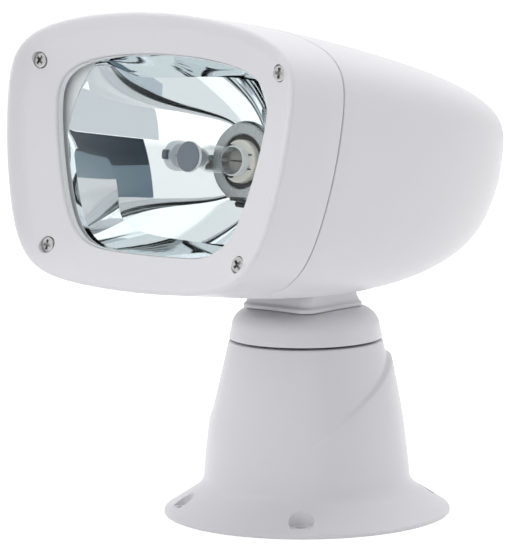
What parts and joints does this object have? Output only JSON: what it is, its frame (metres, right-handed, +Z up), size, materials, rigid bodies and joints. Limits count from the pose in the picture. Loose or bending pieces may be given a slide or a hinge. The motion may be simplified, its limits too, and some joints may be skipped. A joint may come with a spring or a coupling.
{
  "type": "marine searchlight",
  "caption": "Electric marine searchlight: a glazed keystone lamp head tilts on a geared neck above a turret that pans on a flared round deck pedestal.",
  "frame": {"origin": "centre of the pedestal underside, on the deck plane", "axes": "+Z up from the deck, the lens looks along -Y at rest, +X to the right of someone who looks along +Y into the lens"},
  "size_m": [0.1779, 0.2272, 0.2484],
  "materials": {
    "white_body": "satin",
    "steel": "satin",
    "brass": "satin",
    "dark_plastic": "satin",
    "rubber": "matte",
    "board": "satin",
    "terminal": "satin",
    "motor": "satin",
    "washer": "satin",
    "nylon": "satin",
    "chrome": "polished",
    "mirror": "polished",
    "ceramic": "matte",
    "glass": "polished",
    "tungsten": "satin",
    "cap_grey": "satin"
  },
  "bodies": {
    "base": {"pedestal": "white_body", "base_plate": "dark_plastic", "plate_screw_1": "steel", "plate_screw_2": "steel", "plate_screw_3": "steel", "plate_screw_4": "steel", "cable_grommet": "rubber", "control_board": "board", "terminal_block": "terminal", "upper_bush": "brass", "lower_bush": "brass", "thrust_washer": "washer", "motor_plate": "steel", "motor_plate_screw_1": "steel", "motor_plate_screw_2": "steel", "motor_plate_screw_3": "steel", "pan_gearbox": "steel", "pan_motor": "motor"},
    "turret": {"turret_cap": "white_body", "turret_floor": "dark_plastic", "pan_spindle": "steel", "spindle_circlip": "steel", "pan_gear": "nylon", "gear_grub_screw": "steel", "neck": "white_body", "neck_screw_1": "steel", "neck_screw_2": "steel", "neck_screw_3": "steel", "neck_screw_4": "steel", "tilt_shaft": "steel", "shaft_circlip_left": "steel", "shaft_circlip_right": "steel", "tilt_sector": "nylon"},
    "head": {"bezel": "white_body", "bezel_screw_1": "steel", "bezel_screw_2": "steel", "bezel_screw_3": "steel", "bezel_screw_4": "steel", "lens_gasket": "rubber", "lens_glass": "glass", "reflector": "mirror", "lamp_ring": "chrome", "lamp_holder": "dark_plastic", "lamp_base": "ceramic", "lamp_bulb": "glass", "lamp_filament": "tungsten", "glare_cap": "cap_grey", "housing_seal": "rubber", "rear_housing": "white_body", "tilt_bracket": "steel", "bracket_screw_1": "steel", "bracket_screw_2": "steel", "bracket_screw_3": "steel", "bracket_screw_4": "steel", "tilt_bush_left": "brass", "tilt_bush_right": "brass", "tilt_gearbox": "steel", "tilt_motor": "motor"},
    "pan_pinion": {"pan_pinion": "brass"},
    "tilt_pinion": {"tilt_pinion": "brass"}
  },
  "joints": [
    {"name": "pan", "type": "hinge", "parent": "base", "child": "turret", "pos_m": [0, 0, 0.085], "axis": [0, 0, 1], "range_deg": [-180, 180]},
    {"name": "head_tilt", "type": "hinge", "parent": "turret", "child": "head", "pos_m": [0, 0, 0.132], "axis": [1, 0, 0], "range_deg": [-25, 18]},
    {"name": "pan_pinion_spin", "type": "hinge", "parent": "base", "child": "pan_pinion", "pos_m": [0, 0.02625, 0.0715], "axis": [0, 0, 1], "range_deg": [-451, 451]},
    {"name": "tilt_pinion_spin", "type": "hinge", "parent": "head", "child": "tilt_pinion", "pos_m": [0.022, 0.02142, 0.15118], "axis": [1, 0, 0], "range_deg": [-72, 52]}
  ],
  "couplings": [
    {"joint": "pan_pinion_spin", "follows": "pan", "ratio": -2.5},
    {"joint": "tilt_pinion_spin", "follows": "head_tilt", "ratio": 2.8333}
  ]
}
